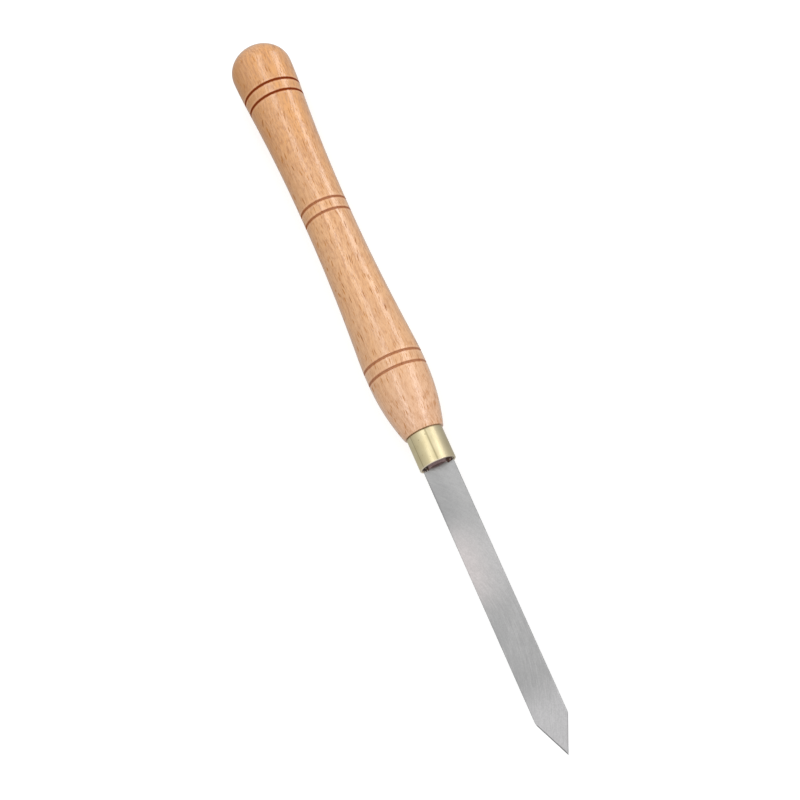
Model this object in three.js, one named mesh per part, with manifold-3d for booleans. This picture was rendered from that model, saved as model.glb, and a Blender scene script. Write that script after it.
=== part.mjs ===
// A turner's parting tool: a flat steel bar with a V point, a tang held with resin in a turned
// beech handle, and a plain brass ferrule. Millimetres, +X runs along the tool to its point,
// +Z is square to the bar's broad faces, and the origin is on the bench under the tool's middle.

import * as THREE from 'three';
import { mergeVertices } from 'three/addons/utils/BufferGeometryUtils.js';
import Module from 'manifold-3d';

// Stations along the tool are measured from the butt end of the handle.
const HANDLE_LENGTH = 280;
const FERRULE_LENGTH = 21;
const BLADE_REACH = 179.5;
const MOUTH = HANDLE_LENGTH + FERRULE_LENGTH;
const OVERALL_LENGTH = MOUTH + BLADE_REACH;

// Turned outline of the handle.
const DOME_LENGTH = 18;
const BUTT_RADIUS = 19.6;
const WAIST_STATION = 134;
const WAIST_RADIUS = 15.05;
const BULGE_STATION = 232;
const BULGE_RADIUS = 18.6;
const LIP_RADIUS = 12.4;

// Burnt grooves, cut in pairs.
const GROOVE_PAIRS = [41, 127.2, 237];
const GROOVE_SPACING = 8;
const GROOVE_WIDTH = 1.2;
const GROOVE_DEPTH = 0.5;

// Ferrule.
const FERRULE_RADIUS = 11.25;
const FERRULE_WALL = 1.2;
const FERRULE_CHAMFER = 0.3;

// Blade and tang.
const BLADE_WIDTH = 19;
const BLADE_THICKNESS = 4.8;
const POINT_ANGLE = THREE.MathUtils.degToRad(48);
const SHOULDER_AHEAD = 1;
const TANG_WIDTH = 12;
const TANG_LENGTH = 62;
const TANG_POINT = 8;

// Bore for the tang, and the spigot that carries the ferrule.
const BORE_RADIUS = 7.5;
const BORE_BEYOND_TANG = 4;
const SPIGOT_RECESS = 1.2;
const RESIN_RECESS = 1.6;
const JOINT_GAP = 0.3;

// Facets round each turned piece, a multiple of four.
const TURNED_SEGMENTS = 40;

const SPIGOT_END = MOUTH - SPIGOT_RECESS;
const SHOULDER_STATION = MOUTH + SHOULDER_AHEAD;
const TANG_END = SHOULDER_STATION - TANG_LENGTH;
const BORE_END = TANG_END - BORE_BEYOND_TANG;

const wasm = await Module();
wasm.setup();

function finish(color, roughness, metalness) {
  return new THREE.MeshStandardMaterial({ color, roughness, metalness });
}

function namedMesh(name, geometry, material) {
  const mesh = new THREE.Mesh(geometry, material);
  mesh.name = name;
  return mesh;
}

function point(station, radius) {
  return new THREE.Vector2(radius, station);
}

// Turns a profile of (radius, station) points about the tool's axis, which becomes +X.
function turned(profile) {
  const geometry = new THREE.LatheGeometry(profile, TURNED_SEGMENTS);
  geometry.rotateZ(-Math.PI / 2);
  return geometry;
}

// The outline behind the waist, from the waist to the front bulge, and from there to the lip.
function handleCurves() {
  const vector = (x, y) => new THREE.Vector2(x, y);
  const rear = new THREE.CubicBezierCurve(
    vector(DOME_LENGTH, BUTT_RADIUS), vector(DOME_LENGTH + 18, BUTT_RADIUS),
    vector(WAIST_STATION - 66, WAIST_RADIUS), vector(WAIST_STATION, WAIST_RADIUS));
  const middle = new THREE.CubicBezierCurve(
    vector(WAIST_STATION, WAIST_RADIUS), vector(WAIST_STATION + 52, WAIST_RADIUS),
    vector(BULGE_STATION - 8, BULGE_RADIUS), vector(BULGE_STATION, BULGE_RADIUS));
  const front = new THREE.CubicBezierCurve(
    vector(BULGE_STATION, BULGE_RADIUS), vector(BULGE_STATION + 10, BULGE_RADIUS),
    vector(HANDLE_LENGTH - 22, LIP_RADIUS + 6.8), vector(HANDLE_LENGTH, LIP_RADIUS));
  return [rear, middle, front];
}

function grooveStations() {
  const half = GROOVE_SPACING / 2;
  return GROOVE_PAIRS.flatMap((middle) => [middle - half, middle + half]);
}

// Radius of a curve at a station, found by halving: stations only rise along each curve.
function radiusAt(curve, station) {
  let low = 0;
  let high = 1;
  for (let step = 0; step < 40; step += 1) {
    const middle = (low + high) / 2;
    if (curve.getPoint(middle).x < station) low = middle;
    else high = middle;
  }
  return curve.getPoint(low).y;
}

function inGroove(station) {
  return grooveStations().some((groove) => Math.abs(groove - station) < GROOVE_WIDTH);
}

// The turned outside of the handle from the butt's centre to the lip, with its grooves.
function handleOutline() {
  const outline = [];
  const domeSteps = 8;
  for (let step = 0; step < domeSteps; step += 1) {
    const angle = (Math.PI / 2) * (step / domeSteps);
    outline.push(point(DOME_LENGTH * (1 - Math.cos(angle)), BUTT_RADIUS * Math.sin(angle)));
  }
  const curveSteps = 9;
  for (const curve of handleCurves()) {
    for (let step = 0; step < curveSteps; step += 1) {
      const place = curve.getPoint(step / curveSteps);
      if (!inGroove(place.x)) outline.push(point(place.x, place.y));
    }
    const [start, end] = [curve.v0.x, curve.v3.x];
    for (const groove of grooveStations().filter((each) => each > start && each < end)) {
      const rim = radiusAt(curve, groove);
      outline.push(point(groove - GROOVE_WIDTH / 2, radiusAt(curve, groove - GROOVE_WIDTH / 2)));
      outline.push(point(groove, rim - GROOVE_DEPTH));
      outline.push(point(groove + GROOVE_WIDTH / 2, radiusAt(curve, groove + GROOVE_WIDTH / 2)));
    }
  }
  outline.sort((a, b) => a.y - b.y);
  outline.push(point(HANDLE_LENGTH, LIP_RADIUS));
  return outline;
}

function handle() {
  const spigotRadius = FERRULE_RADIUS - FERRULE_WALL - JOINT_GAP;
  const profile = handleOutline();
  profile.push(point(HANDLE_LENGTH, spigotRadius));
  profile.push(point(SPIGOT_END, spigotRadius));
  profile.push(point(SPIGOT_END, BORE_RADIUS));
  profile.push(point(BORE_END, BORE_RADIUS));
  profile.push(point(BORE_END, 0));
  return namedMesh('handle', turned(profile), finish(0xdcae80, 0.35, 0));
}

function ferrule() {
  const rear = HANDLE_LENGTH + JOINT_GAP;
  const inner = FERRULE_RADIUS - FERRULE_WALL;
  const profile = [
    point(rear, inner),
    point(rear, FERRULE_RADIUS),
    point(MOUTH - FERRULE_CHAMFER, FERRULE_RADIUS),
    point(MOUTH, FERRULE_RADIUS - FERRULE_CHAMFER),
    point(MOUTH, inner + FERRULE_CHAMFER),
    point(MOUTH - FERRULE_CHAMFER, inner),
    point(rear, inner),
  ];
  return namedMesh('ferrule', turned(profile), finish(0xd2bf86, 0.3, 1));
}

// The flat bar seen square to its broad face, from the tang's blunt end to the V point.
function bladeOutline() {
  const half = BLADE_WIDTH / 2;
  const tangHalf = TANG_WIDTH / 2;
  const pointShoulder = OVERALL_LENGTH - half / Math.tan(POINT_ANGLE / 2);
  const upper = [
    [TANG_END, tangHalf / 2],
    [TANG_END + TANG_POINT, tangHalf],
    [SHOULDER_STATION, tangHalf],
    [SHOULDER_STATION, half],
    [pointShoulder, half],
  ];
  const lower = upper.map(([x, y]) => [x, -y]);
  const outline = [...lower, [OVERALL_LENGTH, 0], ...upper.reverse()];
  return new THREE.Shape(outline.map(([x, y]) => new THREE.Vector2(x, y)));
}

function blade() {
  const geometry = new THREE.ExtrudeGeometry(bladeOutline(), {
    depth: BLADE_THICKNESS,
    bevelEnabled: false,
  });
  geometry.translate(0, 0, -BLADE_THICKNESS / 2);
  return namedMesh('blade', geometry, finish(0xb4b4b2, 0.4, 1));
}

function solidOf(geometry) {
  const bare = geometry.clone();
  bare.deleteAttribute('normal');
  bare.deleteAttribute('uv');
  const merged = mergeVertices(bare);
  return new wasm.Manifold(new wasm.Mesh({
    numProp: 3,
    vertProperties: new Float32Array(merged.attributes.position.array),
    triVerts: new Uint32Array(merged.index.array),
  }));
}

function geometryOf(solid) {
  const mesh = solid.getMesh();
  const geometry = new THREE.BufferGeometry();
  geometry.setAttribute('position', new THREE.BufferAttribute(mesh.vertProperties, mesh.numProp));
  geometry.setIndex(new THREE.BufferAttribute(mesh.triVerts, 1));
  geometry.computeVertexNormals();
  return geometry;
}

// The resin fills the bore round the tang, so it is a plug with a slot open at the mouth.
function tangResin() {
  const start = BORE_END + JOINT_GAP;
  const end = MOUTH - RESIN_RECESS;
  const radius = BORE_RADIUS - JOINT_GAP;
  const plug = turned([point(start, 0), point(start, radius), point(end, radius), point(end, 0)]);
  const slotStart = TANG_END - JOINT_GAP;
  const slotEnd = MOUTH;
  const slot = new THREE.BoxGeometry(
    slotEnd - slotStart, TANG_WIDTH + 2 * JOINT_GAP, BLADE_THICKNESS + 2 * JOINT_GAP);
  slot.translate((slotStart + slotEnd) / 2, 0, 0);
  const resin = solidOf(plug).subtract(solidOf(slot));
  return namedMesh('tang_resin', geometryOf(resin), finish(0x3a2316, 0.25, 0));
}

const partingTool = new THREE.Group();
partingTool.add(handle(), ferrule(), blade(), tangResin());
partingTool.position.set(-OVERALL_LENGTH / 2, 0, BUTT_RADIUS);

export default partingTool;
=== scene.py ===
# A turner's parting tool lying on a pale floor: turned beech handle, brass ferrule, flat steel
# bar ground to a V point, and the dark resin that beds its tang. Metres, +X towards the point,
# +Z square to the bar's broad faces.

import math

import bmesh
import bpy
from mathutils import Matrix, Quaternion, Vector, noise


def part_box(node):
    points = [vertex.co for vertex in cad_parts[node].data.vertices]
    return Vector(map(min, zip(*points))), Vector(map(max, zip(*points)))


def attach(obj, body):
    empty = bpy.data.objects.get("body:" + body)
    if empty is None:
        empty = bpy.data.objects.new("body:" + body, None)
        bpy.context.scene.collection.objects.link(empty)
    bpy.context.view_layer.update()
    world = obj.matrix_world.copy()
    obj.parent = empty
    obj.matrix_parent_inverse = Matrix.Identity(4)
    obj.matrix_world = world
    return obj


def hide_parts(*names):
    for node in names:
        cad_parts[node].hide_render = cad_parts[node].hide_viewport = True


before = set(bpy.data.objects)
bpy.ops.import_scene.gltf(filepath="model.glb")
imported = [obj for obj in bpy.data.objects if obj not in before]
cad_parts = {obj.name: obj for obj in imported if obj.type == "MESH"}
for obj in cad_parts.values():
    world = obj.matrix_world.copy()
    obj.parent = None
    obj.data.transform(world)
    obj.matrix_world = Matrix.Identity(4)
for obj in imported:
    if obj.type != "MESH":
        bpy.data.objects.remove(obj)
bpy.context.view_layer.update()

MM = 0.001
HANDLE_LOW, HANDLE_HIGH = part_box("handle")
FERRULE_LOW, FERRULE_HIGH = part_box("ferrule")
BLADE_LOW, BLADE_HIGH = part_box("blade")

# Stations along the tool, and the radii that the frame gives.
BUTT = HANDLE_LOW.x
MOUTH = FERRULE_HIGH.x
POINT = BLADE_HIGH.x
TANG_END = BLADE_LOW.x
AXIS_HEIGHT = (HANDLE_LOW.z + HANDLE_HIGH.z) / 2
BUTT_RADIUS = (HANDLE_HIGH.z - HANDLE_LOW.z) / 2
FERRULE_RADIUS = (FERRULE_HIGH.z - FERRULE_LOW.z) / 2
BLADE_HALF_WIDTH = (BLADE_HIGH.y - BLADE_LOW.y) / 2
BLADE_HALF_THICKNESS = (BLADE_HIGH.z - BLADE_LOW.z) / 2

# Turned outline of the handle. Its dome starts a little inside the frame's butt.
LIP = BUTT + 280 * MM
DOME_LENGTH = 18 * MM
DOME_SETBACK = 1.3 * MM
WAIST = BUTT + 134 * MM
WAIST_RADIUS = 15.05 * MM
BULGE = BUTT + 232 * MM
BULGE_RADIUS = 18.6 * MM
LIP_RADIUS = 12.4 * MM
LIP_ROUND = 0.3 * MM

# Burnt grooves: the middle of each pair, and how dark the burning left it.
GROOVE_PAIRS = [(BUTT + 41 * MM, 1.0), (BUTT + 127.2 * MM, 0.62), (BUTT + 237 * MM, 0.55)]
GROOVE_SPACING = 8 * MM
GROOVE_HALF_WIDTH = 0.72 * MM
GROOVE_DEPTH = 0.55 * MM
GROOVE_RIM_HEIGHT = 0.04 * MM
GROOVE_STEPS = 22

# Ferrule. It reaches back over most of the gap that the frame leaves at the lip.
FERRULE_WALL = 1.2 * MM
FERRULE_REACH_BACK = 0.2 * MM
FERRULE_MOUTH_ROUND = 0.5 * MM
FERRULE_REAR_ROUND = 0.12 * MM
# Faint lines along it: degrees round from its top, half width in degrees, and strength.
FAINT_LINES = [(10.5, 4.5, 0.6), (-43.4, 3.5, 0.5), (75, 2.0, 0.3), (-120, 2.5, 0.3), (150, 3, 0.4)]

# The handle's spigot inside the ferrule, and its bore for the tang.
SPIGOT_RADIUS = FERRULE_RADIUS - FERRULE_WALL - 0.05 * MM
SPIGOT_END = MOUTH - 1.2 * MM
SPIGOT_CHAMFER = 0.4 * MM
BORE_RADIUS = 7.5 * MM
BORE_END = TANG_END - 4 * MM
BORE_CHAMFER = 0.2 * MM

# Blade: the tang, the bar's shoulder, and the V point with its own shoulder.
TANG_HALF_WIDTH = 6 * MM
TANG_TAPER = 8 * MM
SHOULDER = MOUTH + 1 * MM
POINT_HALF_ANGLE = math.radians(24)
POINT_SHOULDER = POINT - BLADE_HALF_WIDTH / math.tan(POINT_HALF_ANGLE)
# How far the point's -Y facet has moved in where it meets the top face, at each of its ends.
FACET_LEAN_AT_TIP = 1.3 * MM
FACET_LEAN_AT_SHOULDER = 1.8 * MM
# How far in each arris is eased on the ground point, along the bar and on the tang.
GROUND_EASE = 0.04 * MM
BAR_EASE = 0.24 * MM
TANG_EASE = 0.2 * MM
# An arris's three edges: how far in, as a share of its ease, and how far below the broad face.
ARRIS_STEPS = [(0, 0.24 * MM), (0.3, 0.08 * MM), (1, 0)]

# Resin: the plug in the bore, and the collar squeezed out over the spigot's end.
RESIN_CLEARANCE = 0.02 * MM
PLUG_RADIUS = BORE_RADIUS - 0.05 * MM
PLUG_END = TANG_END + 9 * MM
COLLAR_WIDTH = 1.15 * MM
COLLAR_LUMP_WIDTH = 0.9 * MM
COLLAR_LUMP_HEIGHT = 0.22 * MM
# It runs up the bar's shoulders in two corners, this many degrees round from straight below.
CORNER_ANGLE = 105
CORNER_SPREAD = 13
CORNER_WIDTH = 0.8 * MM
CORNER_CLIMB_MINUS_Y = 1.9 * MM
CORNER_CLIMB_PLUS_Y = 2.9 * MM

TURNED_SEGMENTS = 144


# ---------------------------------------------------------------- meshes

def mesh_object(name, vertices, faces, sharp_angle=30):
    mesh = bpy.data.meshes.new(name)
    mesh.from_pydata([tuple(v) for v in vertices], [], faces)
    shape = bmesh.new()
    shape.from_mesh(mesh)
    bmesh.ops.recalc_face_normals(shape, faces=shape.faces)
    shape.to_mesh(mesh)
    shape.free()
    mesh.shade_smooth()
    mesh.set_sharp_from_angle(angle=math.radians(sharp_angle))
    piece = bpy.data.objects.new(name, mesh)
    bpy.context.scene.collection.objects.link(piece)
    return piece


def around_axis(x, y, z):
    return Vector((x, y, AXIS_HEIGHT + z))


def turned(name, profile, closed):
    """A solid of revolution. An open profile of (x, radius) starts and ends on the axis."""
    vertices = []
    rings = []
    for x, radius in profile:
        start = len(vertices)
        if radius == 0:
            vertices.append(around_axis(x, 0, 0))
            rings.append([start] * TURNED_SEGMENTS)
            continue
        for step in range(TURNED_SEGMENTS):
            angle = 2 * math.pi * step / TURNED_SEGMENTS
            vertices.append(around_axis(x, radius * math.sin(angle), radius * math.cos(angle)))
        rings.append(list(range(start, start + TURNED_SEGMENTS)))
    return mesh_object(name, vertices, skin(rings, closed))


def skin(rings, closed):
    """Faces between neighbouring rings of vertex numbers, leaving out repeated corners."""
    pairs = list(zip(rings, rings[1:]))
    if closed:
        pairs.append((rings[-1], rings[0]))
    faces = []
    for near, far in pairs:
        count = len(near)
        for step in range(count):
            after = (step + 1) % count
            corners = [near[step], near[after], far[after], far[step]]
            face = list(dict.fromkeys(corners))
            if len(face) > 2:
                faces.append(face)
    return faces


def bezier(start, start_pull, end_pull, end, steps):
    """Points (x, radius) of a cubic curve, its last point left out."""
    points = []
    for step in range(steps):
        t = step / steps
        weights = ((1 - t) ** 3, 3 * (1 - t) ** 2 * t, 3 * (1 - t) * t * t, t ** 3)
        corners = (start, start_pull, end_pull, end)
        points.append(tuple(sum(w * c[i] for w, c in zip(weights, corners)) for i in (0, 1)))
    return points


def arc_points(centre, radius_x, radius_r, start, end, steps):
    """Points of an elliptic arc from one angle to another, in degrees from +X towards outward."""
    points = []
    for step in range(steps + 1):
        angle = math.radians(start + (end - start) * step / steps)
        points.append((centre[0] + radius_x * math.cos(angle),
                       centre[1] + radius_r * math.sin(angle)))
    return points


def smooth_outline():
    """The turned outside of the handle, without its grooves, from the butt to the lip."""
    dome_end = BUTT + DOME_LENGTH
    dome = arc_points((dome_end, 0), DOME_LENGTH - DOME_SETBACK, BUTT_RADIUS, 180, 90, steps=26)
    rear = bezier((dome_end, BUTT_RADIUS), (dome_end + 18 * MM, BUTT_RADIUS),
                  (WAIST - 66 * MM, WAIST_RADIUS), (WAIST, WAIST_RADIUS), steps=44)
    middle = bezier((WAIST, WAIST_RADIUS), (WAIST + 52 * MM, WAIST_RADIUS),
                    (BULGE - 8 * MM, BULGE_RADIUS), (BULGE, BULGE_RADIUS), steps=40)
    front = bezier((BULGE, BULGE_RADIUS), (BULGE + 10 * MM, BULGE_RADIUS),
                   (LIP - 22 * MM, LIP_RADIUS + 6.8 * MM), (LIP, LIP_RADIUS), steps=30)
    return dome[1:-1] + rear + middle + front


def radius_at(outline, x):
    """The radius of an outline at a station, between its points."""
    for (x0, r0), (x1, r1) in zip(outline, outline[1:]):
        if x0 <= x <= x1:
            return r0 + (r1 - r0) * (x - x0) / (x1 - x0)
    return outline[-1][1]


def groove_stations():
    half = GROOVE_SPACING / 2
    return [middle + side * half for middle, _ in GROOVE_PAIRS for side in (-1, 1)]


def grooved_outline():
    """The outline with each groove let in as a rounded V whose rims stand a little proud."""
    plain = smooth_outline()
    reach = 1.9 * GROOVE_HALF_WIDTH
    outline = [p for p in plain if all(abs(p[0] - g) > reach for g in groove_stations())]
    # The rim's place and spread are shares of the half width, like the depth's.
    rim_place = 1.25
    rim_spread = 0.3
    for groove in groove_stations():
        for step in range(GROOVE_STEPS + 1):
            offset = reach * (2 * step / GROOVE_STEPS - 1)
            share = abs(offset) / GROOVE_HALF_WIDTH
            depth = GROOVE_DEPTH * max(0, 1 - share ** 1.6) ** 0.9
            rim = GROOVE_RIM_HEIGHT * math.exp(-((share - rim_place) / rim_spread) ** 2)
            x = groove + offset
            outline.append((x, radius_at(plain, x) - depth + rim))
    return sorted(outline)


def make_handle():
    profile = [(BUTT + DOME_SETBACK, 0)] + grooved_outline()
    lip_centre = (LIP - LIP_ROUND, LIP_RADIUS - LIP_ROUND)
    profile = [p for p in profile if p[0] < LIP - 1.2 * LIP_ROUND]
    profile += arc_points(lip_centre, LIP_ROUND, LIP_ROUND, 78, 0, steps=6)
    profile += [(LIP, SPIGOT_RADIUS), (SPIGOT_END - SPIGOT_CHAMFER, SPIGOT_RADIUS),
                (SPIGOT_END, SPIGOT_RADIUS - SPIGOT_CHAMFER),
                (SPIGOT_END, BORE_RADIUS + BORE_CHAMFER),
                (SPIGOT_END - BORE_CHAMFER, BORE_RADIUS), (BORE_END, BORE_RADIUS), (BORE_END, 0)]
    return turned("turned_handle", profile, closed=False)


def make_ferrule():
    inner = FERRULE_RADIUS - FERRULE_WALL
    rear = FERRULE_LOW.x - FERRULE_REACH_BACK
    edge = FERRULE_MOUTH_ROUND
    rear_edge = FERRULE_REAR_ROUND
    rear_centre = (rear + rear_edge, FERRULE_RADIUS - rear_edge)
    profile = arc_points(rear_centre, rear_edge, rear_edge, 180, 90, steps=4)
    profile += arc_points((MOUTH - edge, FERRULE_RADIUS - edge), edge, edge, 90, 0, steps=6)
    profile += arc_points((MOUTH - edge, inner + edge), edge, edge, 0, -90, steps=6)
    profile += [(rear, inner)]
    return turned("brass_ferrule", profile, closed=True)


def mitred(outline, insets):
    """A closed outline with each side moved in by its own inset. Side n runs from corner n."""
    lines = []
    for index, corner in enumerate(outline):
        along = (outline[(index + 1) % len(outline)] - corner).normalized()
        inward = Vector((-along.y, along.x))
        lines.append((corner + inward * insets[index], along))
    moved = []
    for index, (here, along) in enumerate(lines):
        before, before_along = lines[index - 1]
        cross = before_along.x * along.y - before_along.y * along.x
        gap = here - before
        distance = (gap.x * along.y - gap.y * along.x) / cross
        moved.append(before + before_along * distance)
    return moved


def blade_outline():
    """Corners of the bar seen square to its broad face, anticlockwise, with each side's ease."""
    taper_end = TANG_END + TANG_TAPER
    corners = [(TANG_END, -TANG_HALF_WIDTH / 2, TANG_EASE),
               (taper_end, -TANG_HALF_WIDTH, TANG_EASE),
               (SHOULDER, -TANG_HALF_WIDTH, TANG_EASE),
               (SHOULDER, -BLADE_HALF_WIDTH, BAR_EASE),
               (POINT_SHOULDER, -BLADE_HALF_WIDTH, GROUND_EASE),
               (POINT, 0, GROUND_EASE),
               (POINT_SHOULDER, BLADE_HALF_WIDTH, BAR_EASE),
               (SHOULDER, BLADE_HALF_WIDTH, TANG_EASE),
               (SHOULDER, TANG_HALF_WIDTH, TANG_EASE),
               (taper_end, TANG_HALF_WIDTH, TANG_EASE),
               (TANG_END, TANG_HALF_WIDTH / 2, TANG_EASE)]
    return [Vector((x, y)) for x, y, _ in corners], [ease for _, _, ease in corners]


def make_blade():
    outline, eases = blade_outline()
    count = len(outline)
    tip = outline.index(max(outline, key=lambda corner: corner.x))
    other_facet = (outline[tip + 1] - outline[tip]).normalized()
    layers = []
    # Outlines one above the other, from the under face up. Each arris is eased in two flats.
    for side in (-1, 1):
        for share, drop in (ARRIS_STEPS if side > 0 else ARRIS_STEPS[::-1]):
            ring = mitred(outline, [ease * share for ease in eases])
            z = side * (BLADE_HALF_THICKNESS - drop)
            # The point's facet on the -Y side leans in towards the top face.
            rise = (z + BLADE_HALF_THICKNESS) / (2 * BLADE_HALF_THICKNESS)
            ring[tip] = ring[tip] + other_facet * FACET_LEAN_AT_TIP * rise
            ring[tip - 1] = ring[tip - 1] - Vector((FACET_LEAN_AT_SHOULDER * rise, 0))
            layers.append((ring, z))
    vertices = [around_axis(p.x, p.y, z) for ring, z in layers for p in ring]
    rings = [list(range(n * count, (n + 1) * count)) for n in range(len(layers))]
    faces = skin(rings, closed=False)
    faces.append(rings[0])
    faces.append(rings[-1])
    return mesh_object("ground_bar", vertices, faces, sharp_angle=12)


def tang_edge(angle, clearance):
    """A point on the tang's section, a rectangle, in the direction of an angle."""
    across, up = math.sin(angle), math.cos(angle)
    reach = min((TANG_HALF_WIDTH + clearance) / max(abs(across), 1e-9),
                (BLADE_HALF_THICKNESS + clearance) / max(abs(up), 1e-9))
    return across * reach, up * reach


def make_resin():
    """A plug round the tang that has been squeezed out over the spigot's end in a lumpy collar."""
    vertices = []
    rings = []
    # Each ring: how far past the spigot's end, how far from the tang (0) to the plug's wall (1),
    # its share of the collar's width, and its share of the climb in the corners.
    deep = PLUG_END - SPIGOT_END
    rows = [(deep, 0, 0, 0), (deep, 1, 0, 0), (-0.5 * MM, 1, 0, 0),
            (0.02 * MM, 1, 0.2, 0), (0.05 * MM, 1, 1.0, 0), (0.25 * MM, 1, 1.12, 0.45),
            (0.45 * MM, 1, 0.85, 0.85), (0.50 * MM, 0.8, 0.4, 1.0), (0.45 * MM, 0.5, 0.1, 1.0),
            (0.62 * MM, 0.22, 0, 0.95), (0.85 * MM, 0.05, 0, 0.85), (0.92 * MM, 0, 0, 0.8)]
    for past, share, spread, climb in rows:
        start = len(vertices)
        for step in range(TURNED_SEGMENTS):
            angle = 2 * math.pi * step / TURNED_SEGMENTS
            near = Vector(tang_edge(angle, RESIN_CLEARANCE))
            direction = Vector((math.sin(angle), math.cos(angle)))
            lump = noise.noise(Vector((direction.x * 2.3, direction.y * 2.3, 0.7)))
            from_corner = (abs(math.degrees(angle - math.pi)) - CORNER_ANGLE) / CORNER_SPREAD
            corner = math.exp(-from_corner ** 2)
            collar = COLLAR_WIDTH + COLLAR_LUMP_WIDTH * lump + CORNER_WIDTH * corner
            far = direction * (PLUG_RADIUS + collar * spread)
            place = near.lerp(far, share)
            height = COLLAR_LUMP_HEIGHT * lump * min(1, spread + share) if past > 0 else 0
            # It stands up highest in the corners, where it has run over the bar's shoulders.
            run = CORNER_CLIMB_PLUS_Y if direction.x > 0 else CORNER_CLIMB_MINUS_Y
            knob = noise.noise(Vector((direction.x * 9, direction.y * 9, share * 2.5)))
            height += run * climb * corner * (1.0 + 0.35 * knob)
            vertices.append(around_axis(SPIGOT_END + past + height, place.x, place.y))
        rings.append(list(range(start, start + TURNED_SEGMENTS)))
    return mesh_object("resin_collar", vertices, skin(rings, closed=True), sharp_angle=60)


# ---------------------------------------------------------------- material nodes

class Nodes:
    """Adds shader nodes to a new material, with inputs given by name or number."""

    def __init__(self, name):
        self.material = bpy.data.materials.new(name)
        self.material.use_nodes = True
        self.tree = self.material.node_tree
        self.shader = self.tree.nodes["Principled BSDF"]

    def add(self, kind, inputs=None, **settings):
        node = self.tree.nodes.new("ShaderNode" + kind)
        for key, value in settings.items():
            setattr(node, key, value)
        for key, value in (inputs or {}).items():
            self.plug(node, key, value)
        return node

    def plug(self, node, key, value):
        if isinstance(value, bpy.types.NodeSocket):
            self.tree.links.new(value, node.inputs[key])
        else:
            node.inputs[key].default_value = value

    def set(self, **values):
        for key, value in values.items():
            self.plug(self.shader, key.replace("_", " "), value)

    def math(self, operation, first, second=0.0, third=0.0, clamp=False):
        inputs = {0: first, 1: second, 2: third}
        return self.add("Math", inputs, operation=operation, use_clamp=clamp).outputs[0]

    def times(self, first, second):
        return self.math("MULTIPLY", first, second)

    def away(self, value, centre):
        """How far a value lies from a centre, on either side."""
        return self.math("ABSOLUTE", self.math("SUBTRACT", value, centre))

    def span(self, value, low, high, to_low=0.0, to_high=1.0):
        """Maps low..high to to_low..to_high, smoothly and without overshoot."""
        node = self.add("MapRange", {"Value": value, "From Min": low, "From Max": high,
                                     "To Min": to_low, "To Max": to_high},
                        interpolation_type="SMOOTHSTEP")
        return node.outputs["Result"]

    def vector(self, operation, first, second):
        return self.add("VectorMath", {0: first, 1: second}, operation=operation).outputs[0]

    def length(self, vector):
        return self.add("VectorMath", {0: vector}, operation="LENGTH").outputs["Value"]

    def split(self, vector):
        return self.add("SeparateXYZ", {0: vector}).outputs[:]

    def place(self):
        """The object's own coordinates, which are the tool's, in metres."""
        return self.add("TexCoord").outputs["Object"]

    def mapped(self, vector, scale, rotation=(0, 0, 0)):
        return self.add("Mapping", {"Vector": vector, "Rotation": rotation,
                                    "Scale": scale}).outputs[0]

    def noise(self, vector, scale, detail=2.0, roughness=0.5, output=0):
        """Noise with about as many features to the metre, each way, as the scale says."""
        node = self.add("TexNoise", {"Vector": self.mapped(vector, scale), "Scale": 1.0,
                                     "Detail": detail, "Roughness": roughness})
        return node.outputs[output]

    def mix(self, share, first, second):
        node = self.add("Mix", {0: share, 6: first, 7: second}, data_type="RGBA")
        return node.outputs[2]

    def tinted(self, colour, layers):
        """Lays tints over a colour, in order, each as strong as its mask times its strength."""
        for mask, strength, tint in layers:
            colour = self.mix(self.times(mask, strength), colour, tint)
        return colour

    def bump(self, height, strength, distance, under=None):
        inputs = {"Height": height, "Strength": strength, "Distance": distance}
        if under is not None:
            inputs["Normal"] = under
        return self.add("Bump", inputs).outputs[0]


def dashes(nodes, place, cell, chance, size):
    """Short strokes along the grain, one in some of the cells of a stretched pattern."""
    cells = nodes.mapped(place, tuple(1 / side for side in cell))
    voronoi = nodes.add("TexVoronoi", {"Vector": cells, "Scale": 1.0})
    chosen = nodes.add("SeparateColor", {0: voronoi.outputs["Color"]}).outputs
    present = nodes.span(chosen[0], 1 - chance, 1 - chance + 0.05)
    reach = nodes.times(nodes.span(chosen[1], 0, 1, 0.5, 1.0), size)
    depth = nodes.math("DIVIDE", voronoi.outputs["Distance"], reach)
    return nodes.times(nodes.span(depth, 1.0, 0.6), present)


# ---------------------------------------------------------------- beech

WOOD_PALE = (0.83, 0.43, 0.185, 1)
WOOD_STREAK = (0.72, 0.33, 0.10, 1)
WOOD_CLOUD = (0.82, 0.375, 0.10, 1)
WOOD_PAINTED_SHADE = (0.56, 0.25, 0.07, 1)
WOOD_FRONT = (0.88, 0.54, 0.30, 1)
WOOD_NECK = (0.90, 0.54, 0.34, 1)
WOOD_LATE = (0.56, 0.24, 0.07, 1)
WOOD_LINE = (0.56, 0.23, 0.07, 1)
WOOD_FIBRE = (0.50, 0.20, 0.06, 1)
WOOD_FINE_DASH = (0.46, 0.17, 0.04, 1)
WOOD_DARK_DASH = (0.34, 0.11, 0.025, 1)
WOOD_RIM_WEAR_AND_SHEEN = (0.95, 0.56, 0.32, 1)
WOOD_SCORCHED = (0.66, 0.22, 0.06, 1)
WOOD_BURNT = (0.25, 0.040, 0.003, 1)
END_GRAIN_GREY = (0.46, 0.27, 0.25, 1)
END_GRAIN_DARK = (0.10, 0.045, 0.03, 1)

# The grain leans a little from the tool's axis, and wanders sideways by up to this much.
GRAIN_TURN = (math.radians(24), 0, math.radians(1.5))
GRAIN_WANDER = 9 * MM
# Growth rings run round a pith that lay well below the handle.
PITH = (0, -14 * MM, -70 * MM)
RING_WIDTH = 3.1 * MM


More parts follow.
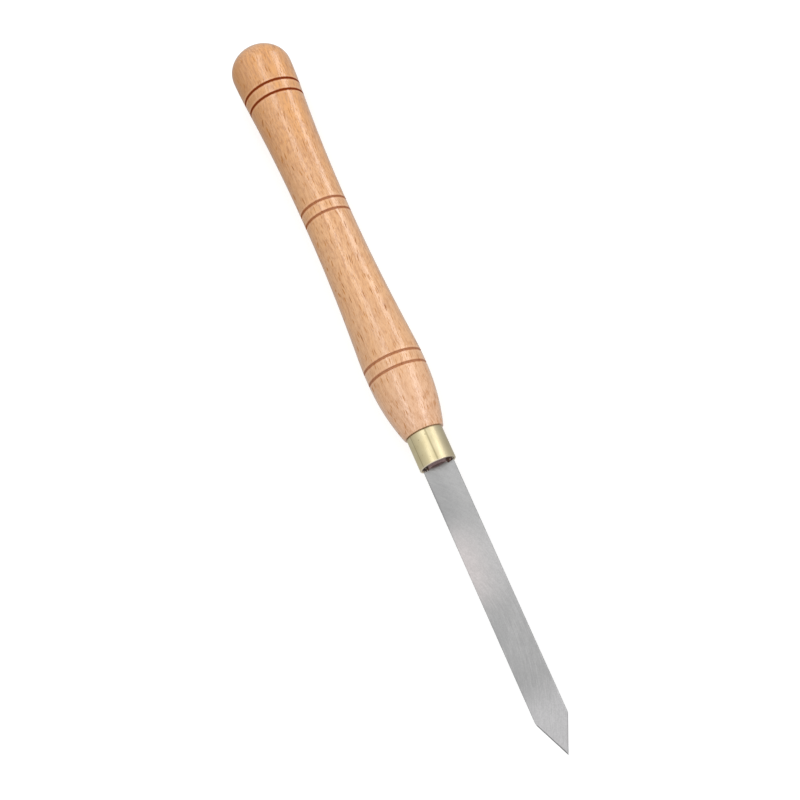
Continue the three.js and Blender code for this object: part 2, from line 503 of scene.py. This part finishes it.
def burn_masks(nodes, place):
    """The dark of each groove, the scorched band beside it, and the pale band on the crest beyond:
    partly rubbed wood and partly a painted highlight on the groove's rim.
    """
    wobble = nodes.noise(place, (700, 700, 700), detail=1.0)
    x = nodes.split(place)[0]
    x = nodes.math("ADD", x, nodes.times(nodes.math("SUBTRACT", wobble, 0.5), 0.4 * MM))
    dark = halo = rim_wear_and_sheen = 0.0
    for middle, depth in GROOVE_PAIRS:
        away = nodes.away(nodes.away(x, middle), GROOVE_SPACING / 2)
        dark = nodes.math("MAXIMUM", nodes.span(away, 0.60 * MM, 1.10 * MM, depth, 0.0), dark)
        halo = nodes.math("MAXIMUM", nodes.span(away, 0.8 * MM, 1.7 * MM, depth, 0.0), halo)
        rim_band = nodes.times(nodes.span(away, 0.9 * MM, 1.4 * MM),
                             nodes.span(away, 2.6 * MM, 1.6 * MM))
        rim_wear_and_sheen = nodes.math("MAXIMUM", rim_band, rim_wear_and_sheen)
    return dark, halo, rim_wear_and_sheen


def beech():
    nodes = Nodes("varnished_beech")
    place = nodes.place()
    x, y, _ = nodes.split(place)
    drift = nodes.noise(place, (20, 30, 30), detail=1.0, output="Color")
    drift = nodes.vector("SUBTRACT", drift, (0.5, 0.5, 0.5))
    drift = nodes.vector("MULTIPLY", drift, (0, GRAIN_WANDER, GRAIN_WANDER))
    grain = nodes.mapped(nodes.vector("ADD", place, drift), (1, 1, 1), rotation=GRAIN_TURN)

    from_pith = nodes.vector("SUBTRACT", grain, PITH)
    ring_radius = nodes.length(nodes.vector("MULTIPLY", from_pith, (0, 1, 1)))
    ring = nodes.math("FRACT", nodes.math("DIVIDE", ring_radius, RING_WIDTH))
    late_wood = nodes.times(nodes.span(ring, 0.45, 0.93), nodes.span(ring, 1.0, 0.95))
    cloud = nodes.noise(grain, (26, 110, 110))
    streaks = nodes.noise(grain, (45, 640, 640), detail=3.0, roughness=0.6)
    lines = nodes.noise(grain, (115, 900, 900), roughness=0.6)
    fibres = nodes.noise(grain, (300, 1300, 1300), roughness=0.7)
    fine_dashes = dashes(nodes, grain, (8 * MM, 0.85 * MM, 4 * MM), chance=0.70, size=0.38)
    dark_dashes = dashes(nodes, grain, (12 * MM, 1.0 * MM, 7 * MM), chance=0.18, size=0.32)
    pores = nodes.math("MAXIMUM", fine_dashes, dark_dashes)
    dark, halo, rim_wear_and_sheen = burn_masks(nodes, place)

    # The wood is painted darker on its -Y side, most of all towards the butt: painted shade, where
    # the light falls less. Towards the ferrule it is paler and pinker, and its figure fades.
    painted_shade_side = nodes.times(nodes.span(y, -4 * MM, -18 * MM), nodes.span(x, BULGE, WAIST, 0.3, 1.0))
    figure = nodes.span(x, WAIST - 10 * MM, LIP, 1.0, 0.6)
    # Glue and steel dust have stained the spigot's end grain, inside the ferrule's mouth.
    stained = nodes.span(x, SPIGOT_END - 3 * MM, SPIGOT_END - 0.5 * MM)
    to_the_side = nodes.span(nodes.math("ABSOLUTE", y), 4 * MM, 6 * MM)
    stain = nodes.mix(to_the_side, END_GRAIN_GREY, END_GRAIN_DARK)
    colour = nodes.mix(nodes.span(streaks, 0.3, 0.7), WOOD_PALE, WOOD_STREAK)
    colour = nodes.tinted(colour, [
        (nodes.span(cloud, 0.38, 0.62), 1.0, WOOD_CLOUD),
        # painted shade on the -Y side
        (painted_shade_side, 0.75, WOOD_PAINTED_SHADE),
        (nodes.span(x, BUTT + 30 * MM, WAIST + 30 * MM), 0.5, WOOD_FRONT),
        (nodes.span(x, BULGE - 15 * MM, LIP), 0.65, WOOD_NECK),
        (late_wood, 0.22, WOOD_LATE),
        (nodes.times(nodes.span(lines, 0.46, 0.68), figure), 0.7, WOOD_LINE),
        (nodes.times(nodes.span(fibres, 0.46, 0.70), figure), 0.6, WOOD_FIBRE),
        (fine_dashes, 0.65, WOOD_FINE_DASH),
        (dark_dashes, 0.8, WOOD_DARK_DASH),
        # pale band beyond each groove: partly rubbed wood, partly a painted highlight
        (rim_wear_and_sheen, 0.25, WOOD_RIM_WEAR_AND_SHEEN),
        (halo, 0.5, WOOD_SCORCHED),
        (dark, 1.0, WOOD_BURNT),
        (stained, 0.9, stain)])

    rough = nodes.span(nodes.noise(grain, (40, 300, 300), detail=3.0), 0.3, 0.7, 0.30, 0.42)
    rough = nodes.math("ADD", rough, nodes.times(dark, 0.3))
    relief = nodes.bump(lines, 0.9, 0.10 * MM)
    relief = nodes.bump(fibres, 0.5, 0.05 * MM, relief)
    relief = nodes.bump(nodes.math("SUBTRACT", 1.0, pores), 0.5, 0.06 * MM, relief)
    coat_relief = nodes.bump(fibres, 0.6, 0.06 * MM, nodes.bump(lines, 1.0, 0.15 * MM))
    # The varnish is thin in the grooves and pores, and thinner under the painted shade on the -Y
    # side.
    varnish = nodes.math("SUBTRACT", 1.0, nodes.math("MAXIMUM", dark, pores))
    varnish = nodes.math("SUBTRACT", varnish, nodes.times(painted_shade_side, 0.5), clamp=True)
    nodes.set(Base_Color=colour, Roughness=rough, Normal=relief, Specular_IOR_Level=0.1,
              Coat_Weight=varnish, Coat_Roughness=0.11, Coat_IOR=1.95, Coat_Normal=coat_relief)
    return nodes.material


# ---------------------------------------------------------------- brass

BRASS_BRIGHT = (0.80, 0.71, 0.46, 1)
BRASS_DEEP = (0.73, 0.63, 0.38, 1)
BRASS_DRAWN = (0.60, 0.48, 0.24, 1)
BRASS_LINE = (0.30, 0.24, 0.11, 1)
BRASS_PIT = (0.22, 0.15, 0.06, 1)
BRASS_RIM_WEAR_AND_SHEEN = (0.98, 0.86, 0.70, 1)
BRASS_TARNISH = (0.20, 0.12, 0.05, 1)
BRASS_PAINTED_SHADE = (0.56, 0.49, 0.34, 1)


def brass():
    nodes = Nodes("drawn_brass")
    place = nodes.place()
    x, y, z = nodes.split(place)
    drawn = nodes.noise(place, (25, 1700, 1700), detail=3.0, roughness=0.6)
    cloud = nodes.noise(place, (160, 210, 210), detail=3.0)
    pits = dashes(nodes, place, (1.5 * MM, 1.2 * MM, 1.2 * MM), chance=0.2, size=0.35)
    # The pits are darkest near the handle.
    pits = nodes.times(pits, nodes.span(x, LIP + 7 * MM, LIP + 1 * MM, 0.5, 1.3))

    # A few faint dark lines run along it.
    layers = [(nodes.span(drawn, 0.4, 0.8), 0.3, BRASS_DRAWN)]
    around = nodes.math("ARCTAN2", y, nodes.math("SUBTRACT", z, AXIS_HEIGHT))
    for angle, half_width, strength in FAINT_LINES:
        line = nodes.span(nodes.away(around, math.radians(angle)), math.radians(half_width), 0.0)
        layers.append((line, strength, BRASS_LINE))
    # Its rim is painted bright, partly worn brass and partly a painted highlight; it has tarnished
    # beside the wood; and its +Y side is painted darker, a painted shade that tones down its
    # highlight.
    layers += [(pits, 0.6, BRASS_PIT),
               (nodes.span(x, MOUTH - 0.7 * MM, MOUTH - 0.3 * MM), 0.8, BRASS_RIM_WEAR_AND_SHEEN),
               (nodes.span(x, LIP + 1.0 * MM, LIP + 0.4 * MM), 0.8, BRASS_TARNISH),
               (nodes.span(y, 2 * MM, 9 * MM), 0.6, BRASS_PAINTED_SHADE)]
    colour = nodes.mix(nodes.span(cloud, 0.3, 0.7), BRASS_BRIGHT, BRASS_DEEP)
    colour = nodes.tinted(colour, layers)

    rough = nodes.span(drawn, 0.3, 0.7, 0.34, 0.42)
    relief = nodes.bump(drawn, 0.15, 0.01 * MM)
    relief = nodes.bump(cloud, 0.10, 0.04 * MM, relief)
    nodes.set(Base_Color=colour, Metallic=1.0, Roughness=rough, Normal=relief)
    return nodes.material


# ---------------------------------------------------------------- steel

STEEL_GREY = (0.35, 0.35, 0.35, 1)
STEEL_CLOUD = (0.39, 0.388, 0.388, 1)
STEEL_PAINTED_SHADE = (0.22, 0.22, 0.22, 1)
STEEL_PAINTED_SHEEN = (0.49, 0.48, 0.48, 1)
STEEL_PAINTED_WARM_SHEEN = (0.60, 0.53, 0.52, 1)
STEEL_PAINTED_TIP_SHEEN = (0.58, 0.572, 0.58, 1)
STEEL_PAINTED_EDGE_SHADE = (0.16, 0.16, 0.16, 1)
STEEL_DARK_MARK = (0.24, 0.24, 0.24, 1)
STEEL_PALE_MARK = (0.60, 0.59, 0.59, 1)
STEEL_GRIT = (0.22, 0.22, 0.22, 1)
STEEL_PAINTED_FACET_SHADE = (0.09, 0.09, 0.095, 1)
STEEL_MOUTH_REFLECTION_AND_FILM = (0.22, 0.15, 0.15, 1)

# The bar's faces were ground by a wide cup wheel, whose marks are arcs about this far centre.
WHEEL_CENTRE = (BUTT + 402 * MM, -115 * MM, 0)
# The face's painted shade is deepest at the first of these stations, and its painted sheen brightest
# at the second.
PAINTED_SHADE_STATION = MOUTH + 20 * MM
PAINTED_SHEEN_STATION = MOUTH + 63 * MM


def steel():
    nodes = Nodes("ground_steel")
    place = nodes.place()
    x, y, _ = nodes.split(place)
    from_wheel = nodes.vector("SUBTRACT", place, WHEEL_CENTRE)
    wheel_x, wheel_y, wheel_z = nodes.split(from_wheel)
    turn = nodes.math("ARCTAN2", wheel_y, wheel_x)
    radius = nodes.length(nodes.vector("MULTIPLY", from_wheel, (1, 1, 0)))
    arc = nodes.add("CombineXYZ", {0: radius, 1: turn, 2: wheel_z}).outputs[0]
    marks = nodes.noise(arc, (2600, 16, 2600), detail=3.0, roughness=0.7)
    broad_marks = nodes.noise(arc, (1700, 14, 1700))
    grit = nodes.noise(place, (1300, 1300, 1300), detail=1.0)
    cloud = nodes.noise(place, (26, 60, 60))

    # It is painted duller, and darker at the edges, near the ferrule, most of all on the -Y side:
    # painted shade. Further on it is painted bright, and warm on the -Y side: painted sheen and
    # reflection. Further on it is also more freshly marked.
    painted_shade_zone = nodes.times(nodes.span(nodes.away(x, PAINTED_SHADE_STATION), 28 * MM, 4 * MM),
                       nodes.span(y, -11 * MM, 8 * MM, 1.0, 0.05))
    edge = nodes.span(nodes.math("ABSOLUTE", y), 8.3 * MM, BLADE_HALF_WIDTH)
    painted_sheen_zone = nodes.span(nodes.away(x, PAINTED_SHEEN_STATION), 34 * MM, 4 * MM)
    fresh = nodes.span(x, MOUTH + 25 * MM, MOUTH + 110 * MM, 0.3, 1.0)

    # The point's two facets are painted darker than the broad faces, the one on the -Y side most:
    # painted shade.
    facing = nodes.split(nodes.add("NewGeometry").outputs["Normal"])[2]
    upright = nodes.span(nodes.math("ABSOLUTE", facing), 0.75, 0.55)
    facet_shade = nodes.times(upright, nodes.span(x, POINT_SHOULDER - 0.5 * MM, POINT_SHOULDER + 0.5 * MM))
    facet_shade_strength = nodes.span(y, 0.3 * MM, -0.3 * MM, 0.1, 0.75)

    # A brown arc is painted on the steel just outside the mouth, curved like its rim: partly a
    # painted reflection of the ferrule's dark mouth, partly a resin film.
    across = nodes.math("DIVIDE", y, 11 * MM)
    reach = nodes.math("MULTIPLY_ADD", nodes.times(across, across), -3.2 * MM, MOUTH + 1.3 * MM)
    mouth_reflection_and_film = nodes.span(nodes.math("SUBTRACT", x, reach), 0.3 * MM, -0.3 * MM)

    colour = nodes.mix(nodes.span(cloud, 0.35, 0.65), STEEL_GREY, STEEL_CLOUD)
    colour = nodes.tinted(colour, [
        (painted_shade_zone, 0.46, STEEL_PAINTED_SHADE),
        (painted_sheen_zone, 0.7, STEEL_PAINTED_SHEEN),
        (nodes.times(painted_sheen_zone, nodes.span(y, 8 * MM, -8 * MM)), 0.45, STEEL_PAINTED_WARM_SHEEN),
        # painted sheen towards the point
        (nodes.span(x, MOUTH + 130 * MM, POINT - 20 * MM), 0.8, STEEL_PAINTED_TIP_SHEEN),
        (nodes.times(edge, painted_shade_zone), 0.6, STEEL_PAINTED_EDGE_SHADE),
        (nodes.times(nodes.span(marks, 0.35, 0.75), fresh), 0.28, STEEL_DARK_MARK),
        (nodes.times(nodes.span(broad_marks, 0.45, 0.7), fresh), 0.2, STEEL_PALE_MARK),
        (nodes.span(grit, 0.35, 0.65), 0.16, STEEL_GRIT),
        (facet_shade, facet_shade_strength, STEEL_PAINTED_FACET_SHADE),
        (mouth_reflection_and_film, 0.85, STEEL_MOUTH_REFLECTION_AND_FILM)])
    rough = nodes.span(marks, 0.3, 0.7, 0.28, 0.40)
    relief = nodes.bump(marks, 0.30, 0.02 * MM)
    nodes.set(Base_Color=colour, Metallic=1.0, Roughness=rough, Normal=relief)
    return nodes.material


# ---------------------------------------------------------------- resin

RESIN_THIN = (0.27, 0.18, 0.175, 1)
RESIN_THIN_PALE = (0.36, 0.25, 0.245, 1)
RESIN_THICK = (0.02, 0.009, 0.006, 1)
RESIN_THICK_PALE = (0.07, 0.03, 0.018, 1)
RESIN_PAINTED_GLINT = (0.62, 0.54, 0.45, 1)


def resin():
    nodes = Nodes("dark_resin")
    place = nodes.place()
    y = nodes.split(place)[1]
    cloud = nodes.noise(place, (500, 500, 500), detail=3.0)
    lumps = nodes.noise(place, (1400, 1400, 1400))
    glint_spots = nodes.noise(place, (1100, 1100, 1100), detail=0.0)
    # It is a brownish smear over the wood, and nearly black where it stands thick in the corners.
    mottling = nodes.span(cloud, 0.35, 0.65)
    thin = nodes.mix(mottling, RESIN_THIN, RESIN_THIN_PALE)
    thick = nodes.mix(mottling, RESIN_THICK, RESIN_THICK_PALE)
    # Pale specks in the thick resin are painted glints.
    thick = nodes.tinted(thick, [(nodes.span(glint_spots, 0.64, 0.72), 0.8, RESIN_PAINTED_GLINT)])
    corner = nodes.span(nodes.math("ABSOLUTE", y), 4.8 * MM, 6.2 * MM)
    rough = nodes.span(lumps, 0.3, 0.7, 0.12, 0.35)
    nodes.set(Base_Color=nodes.mix(corner, thin, thick), Roughness=rough, Specular_IOR_Level=0.35,
              Normal=nodes.bump(lumps, 0.5, 0.15 * MM))
    return nodes.material


# ---------------------------------------------------------------- the tool

def dress(piece, node, material):
    """Gives a piece its material, and puts it in the place of the frame's own node."""
    piece.data.materials.append(material)
    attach(piece, "root")
    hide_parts(node)


dress(make_handle(), "handle", beech())
dress(make_ferrule(), "ferrule", brass())
dress(make_blade(), "blade", steel())
dress(make_resin(), "tang_resin", resin())


# ---------------------------------------------------------------- the stage

FLOOR_HALF_SIZE = 3.0

# The camera looks down from over the point, turned so that the butt is at the upper left.
CAMERA_AIM = Vector((15 * MM, -5 * MM, AXIS_HEIGHT))
CAMERA_AZIMUTH = math.radians(15.1)
CAMERA_ELEVATION = math.radians(72.7)
CAMERA_TURN = math.radians(-39.8)
CAMERA_DISTANCE = 0.872
LENS_MM = 66.2
SENSOR_MM = 36

# The softboxes are centred a little behind the butt, a metre from the tool's axis.
SOFTBOX_STATION = -0.3
SOFTBOX_LENGTH = 1.7
SOFTBOX_TILT = math.radians(-30)

# The room's light, away from its bright side and towards it.
ROOM_DIM = 0.56
ROOM_BRIGHT = 0.92
ROOM_BRIGHT_WAY = Vector((-0.25, 0.3, 0.92))


def make_floor():
    """A pale floor. The tool doesn't mirror it, so its metal shows the room's grey instead."""
    half = FLOOR_HALF_SIZE
    corners = [(-half, -half, 0), (half, -half, 0), (half, half, 0), (-half, half, 0)]
    mesh = bpy.data.meshes.new("floor")
    mesh.from_pydata(corners, [], [(0, 1, 2, 3)])
    floor = bpy.data.objects.new("floor", mesh)
    floor.visible_glossy = False
    floor.visible_diffuse = False
    bpy.context.scene.collection.objects.link(floor)
    nodes = Nodes("pale_floor")
    nodes.set(Base_Color=(0.6, 0.6, 0.6, 1), Roughness=0.9, Specular_IOR_Level=0.1,
              Emission_Color=(1, 1, 1, 1), Emission_Strength=0.6)
    mesh.materials.append(nodes.material)


def make_camera():
    back = Vector((math.cos(CAMERA_ELEVATION) * math.cos(CAMERA_AZIMUTH),
                   math.cos(CAMERA_ELEVATION) * math.sin(CAMERA_AZIMUTH),
                   math.sin(CAMERA_ELEVATION)))
    lens = bpy.data.cameras.new("camera")
    lens.sensor_width = SENSOR_MM
    lens.lens = LENS_MM
    camera = bpy.data.objects.new("camera", lens)
    camera.location = CAMERA_AIM + back * CAMERA_DISTANCE
    camera.rotation_mode = "QUATERNION"
    camera.rotation_quaternion = back.to_track_quat("Z", "Y") @ Quaternion((0, 0, 1), CAMERA_TURN)
    bpy.context.scene.collection.objects.link(camera)
    bpy.context.scene.camera = camera


def softbox(name, degrees, width, radiance):
    """A light so many degrees round the tool's axis from straight above, +Y being positive.

    Its long side lies along the tool, but for the tilt.
    """
    lamp = bpy.data.lights.new(name, "AREA")
    lamp.shape = "RECTANGLE"
    lamp.size = width
    lamp.size_y = SOFTBOX_LENGTH
    lamp.energy = radiance * math.pi * width * SOFTBOX_LENGTH
    light = bpy.data.objects.new(name, lamp)
    angle = math.radians(degrees)
    back = Vector((0, math.sin(angle), math.cos(angle)))
    light.location = Vector((SOFTBOX_STATION, 0, AXIS_HEIGHT)) + back
    tall = Quaternion(back, SOFTBOX_TILT) @ Vector((1, 0, 0))
    light.rotation_mode = "QUATERNION"
    light.rotation_quaternion = Matrix((tall.cross(back), tall, back)).transposed().to_quaternion()
    bpy.context.scene.collection.objects.link(light)


def make_room():
    """Soft light from all round, a little brighter from one side."""
    world = bpy.data.worlds.new("studio")
    world.use_nodes = True
    tree = world.node_tree
    place = tree.nodes.new("ShaderNodeTexCoord")
    facing = tree.nodes.new("ShaderNodeVectorMath")
    facing.operation = "DOT_PRODUCT"
    facing.inputs[1].default_value = ROOM_BRIGHT_WAY.normalized()
    strength = tree.nodes.new("ShaderNodeMapRange")
    strength.interpolation_type = "SMOOTHSTEP"
    limits = {"From Min": -0.3, "From Max": 1.0, "To Min": ROOM_DIM, "To Max": ROOM_BRIGHT}
    for key, value in limits.items():
        strength.inputs[key].default_value = value
    background = tree.nodes["Background"]
    background.inputs["Color"].default_value = (1, 1, 1, 1)
    tree.links.new(place.outputs["Generated"], facing.inputs[0])
    tree.links.new(facing.outputs["Value"], strength.inputs["Value"])
    tree.links.new(strength.outputs["Result"], background.inputs["Strength"])
    bpy.context.scene.world = world


make_floor()
make_camera()
softbox("left_softbox", degrees=-6, width=0.24, radiance=1.15)
softbox("right_softbox", degrees=60, width=0.30, radiance=1.6)
make_room()
bpy.context.scene.view_settings.view_transform = "Standard"
